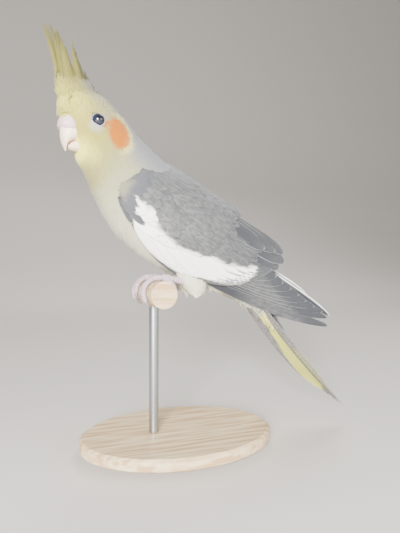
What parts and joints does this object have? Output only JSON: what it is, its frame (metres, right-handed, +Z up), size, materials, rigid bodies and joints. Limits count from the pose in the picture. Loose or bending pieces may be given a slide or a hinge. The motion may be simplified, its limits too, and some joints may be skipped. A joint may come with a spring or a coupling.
{
  "type": "cockatiel",
  "caption": "Life-size still model of a perched cockatiel with raised crest, folded wings and long tail, on a short round perch held by a rod and a flat oval base",
  "frame": {"origin": "centre of the underside of the stand's base, on the floor", "axes": "+Z up; the bird faces -X and its left side faces -Y; the long way, along the base, the body and the tail, is in the XZ plane"},
  "size_m": [0.2098, 0.092, 0.2477],
  "materials": {
    "plumage_face": "soft matt feathers, pale cream",
    "plumage_crest": "soft matt feathers, pale yellow",
    "plumage_grey": "soft matt feathers, pale warm grey",
    "plumage_wing": "matt feathers, mid grey with a white patch",
    "plumage_tail": "matt feathers, grey with a yellow stripe",
    "beak": "smooth horn, pink-white",
    "cere": "bare pink skin",
    "eye": "wet, very dark blue-grey",
    "foot_skin": "scaly pinkish skin",
    "claw": "smooth grey horn",
    "stand_wood": "pale turned wood, satin",
    "stand_steel": "satin steel rod"
  },
  "bodies": {
    "root": {"head": "plumage_face", "crest": "plumage_crest", "neck": "plumage_grey", "torso": "plumage_grey", "tail": "plumage_tail", "beak_upper": "beak", "beak_lower": "beak", "cere": "cere", "eye_left": "eye", "wing_left": "plumage_wing", "thigh_left": "plumage_grey", "foot_left": "foot_skin", "claw_left_2": "claw", "claw_left_3": "claw", "claw_left_1": "claw", "claw_left_4": "claw", "eye_right": "eye", "wing_right": "plumage_wing", "thigh_right": "plumage_grey", "foot_right": "foot_skin", "claw_right_2": "claw", "claw_right_3": "claw", "claw_right_1": "claw", "claw_right_4": "claw", "stand_base": "stand_wood", "stand_rod": "stand_steel", "stand_perch": "stand_wood"}
  },
  "joints": []
}
